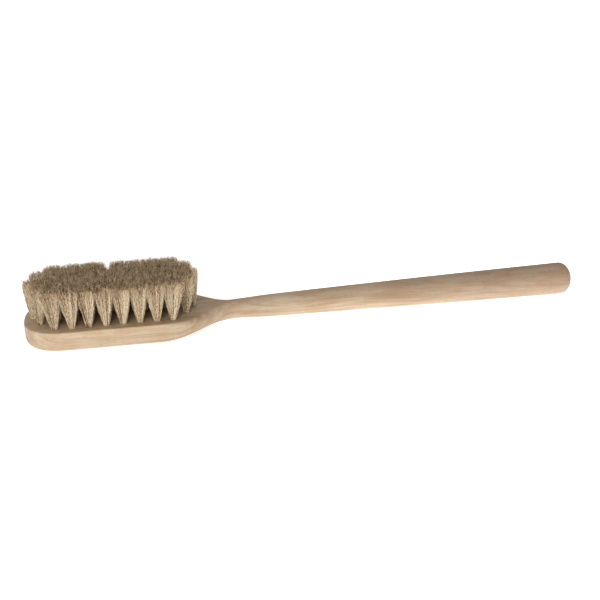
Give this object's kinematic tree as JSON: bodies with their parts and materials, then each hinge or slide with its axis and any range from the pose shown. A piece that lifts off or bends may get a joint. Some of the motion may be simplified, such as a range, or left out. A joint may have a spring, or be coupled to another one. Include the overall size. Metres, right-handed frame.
{
  "type": "body dry brush",
  "caption": "Long-handled wooden body brush: flat oval head with an upright bed of separate natural-hair tufts and a round, slightly swelling handle.",
  "frame": {"origin": "middle of the head's flat back face, under the middle of the bristle field", "axes": "+X from the head towards the handle's butt, +Y across the brush, +Z out of the back through the wood to the bristle tips"},
  "size_m": [0.398, 0.056, 0.042],
  "materials": {
    "wood": "satin",
    "hair": "matte",
    "wire": "satin"
  },
  "bodies": {
    "root": {"stock": "wood", "anchors": "wire", "tuft_01": "hair", "tuft_02": "hair", "tuft_03": "hair", "tuft_04": "hair", "tuft_05": "hair", "tuft_06": "hair", "tuft_07": "hair", "tuft_08": "hair", "tuft_09": "hair", "tuft_10": "hair", "tuft_11": "hair", "tuft_12": "hair", "tuft_13": "hair", "tuft_14": "hair", "tuft_15": "hair", "tuft_16": "hair", "tuft_17": "hair", "tuft_18": "hair", "tuft_19": "hair", "tuft_20": "hair", "tuft_21": "hair", "tuft_22": "hair", "tuft_23": "hair", "tuft_24": "hair", "tuft_25": "hair", "tuft_26": "hair", "tuft_27": "hair", "tuft_28": "hair", "tuft_29": "hair", "tuft_30": "hair", "tuft_31": "hair", "tuft_32": "hair", "tuft_33": "hair", "tuft_34": "hair", "tuft_35": "hair", "tuft_36": "hair", "tuft_37": "hair", "tuft_38": "hair", "tuft_39": "hair", "tuft_40": "hair", "tuft_41": "hair", "tuft_42": "hair", "tuft_43": "hair", "tuft_44": "hair", "tuft_45": "hair", "tuft_46": "hair", "tuft_47": "hair"}
  },
  "joints": []
}
